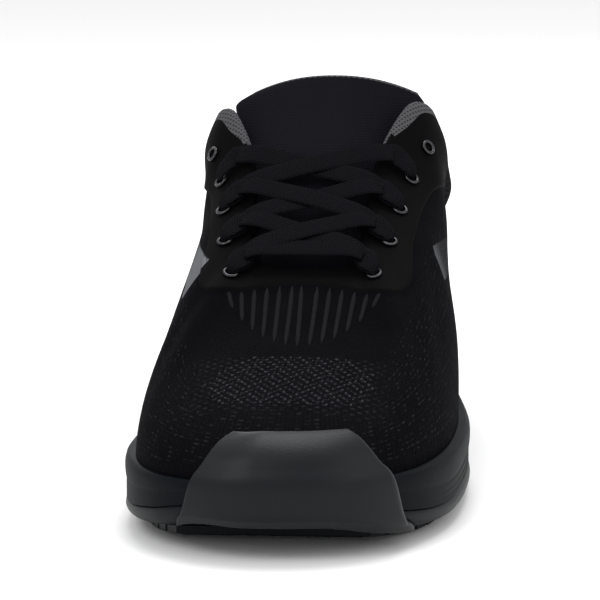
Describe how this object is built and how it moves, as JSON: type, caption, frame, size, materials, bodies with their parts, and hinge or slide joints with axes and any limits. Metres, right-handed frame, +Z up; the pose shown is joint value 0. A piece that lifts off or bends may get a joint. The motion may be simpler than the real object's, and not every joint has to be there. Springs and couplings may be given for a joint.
{
  "type": "safety sneaker",
  "caption": "Low lace-up safety sneaker, left shoe: hollow knit upper with padded collar and tongue, rubber toe bumper, grooved foam midsole and lugged rubber outsole.",
  "frame": {"origin": "middle of the footprint's box, on the floor", "axes": "+Z up, toe towards -Y, outer (lateral) side towards +X"},
  "size_m": [0.116, 0.3036, 0.139],
  "materials": {
    "rubber": "semi-gloss black rubber",
    "foam": "satin near-black foam",
    "clip": "glossy black",
    "knit": "near-black knit",
    "smooth": "smooth matte black",
    "lining": "grey mesh",
    "webbing": "flat black lace",
    "eyelet": "small dark metal rings"
  },
  "bodies": {
    "root": {"outsole": "rubber", "midsole": "foam", "heel_clip": "clip", "toe_bumper": "rubber", "upper": "knit", "heel_strip_low": "smooth", "heel_strip_top": "smooth", "tongue": "knit", "insole": "lining", "lace": "webbing", "eyelet_inner_1": "eyelet", "eyelet_inner_2": "eyelet", "eyelet_inner_3": "eyelet", "eyelet_inner_4": "eyelet", "eyelet_inner_5": "eyelet", "eyelet_outer_1": "eyelet", "eyelet_outer_2": "eyelet", "eyelet_outer_3": "eyelet", "eyelet_outer_4": "eyelet", "eyelet_outer_5": "eyelet"}
  },
  "joints": []
}
